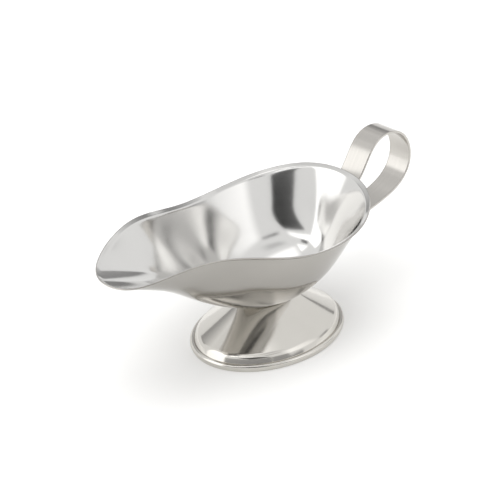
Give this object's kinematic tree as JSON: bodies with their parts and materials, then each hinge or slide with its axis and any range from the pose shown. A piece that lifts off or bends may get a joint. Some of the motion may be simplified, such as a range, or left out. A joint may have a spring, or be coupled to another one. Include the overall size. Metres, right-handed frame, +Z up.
{
  "type": "sauce boat",
  "caption": "Footed stainless steel sauce boat: oval bowl drawn out into a broad pouring lip, flared oval foot and bent strap handle.",
  "frame": {"origin": "on the surface that the foot stands on, below the middle of the whole length", "axes": "+X from the pouring lip to the handle, +Z up, the part mirrored about the plane of X and Z"},
  "size_m": [0.2204, 0.0852, 0.0821],
  "materials": {
    "bowl_steel": "stainless steel sheet, mirror polished inside, softly polished outside",
    "foot_steel": "stainless steel sheet, mirror polished",
    "braze": "silver braze, polished flush",
    "strap_steel": "stainless steel strip, fine brushed along its length",
    "weld_steel": "stainless steel weld, ground and buffed"
  },
  "bodies": {
    "root": {"bowl": "bowl_steel", "foot": "foot_steel", "foot_braze_seam": "braze", "handle_strap": "strap_steel", "handle_upper_weld": "weld_steel", "handle_lower_weld": "weld_steel"}
  },
  "joints": []
}
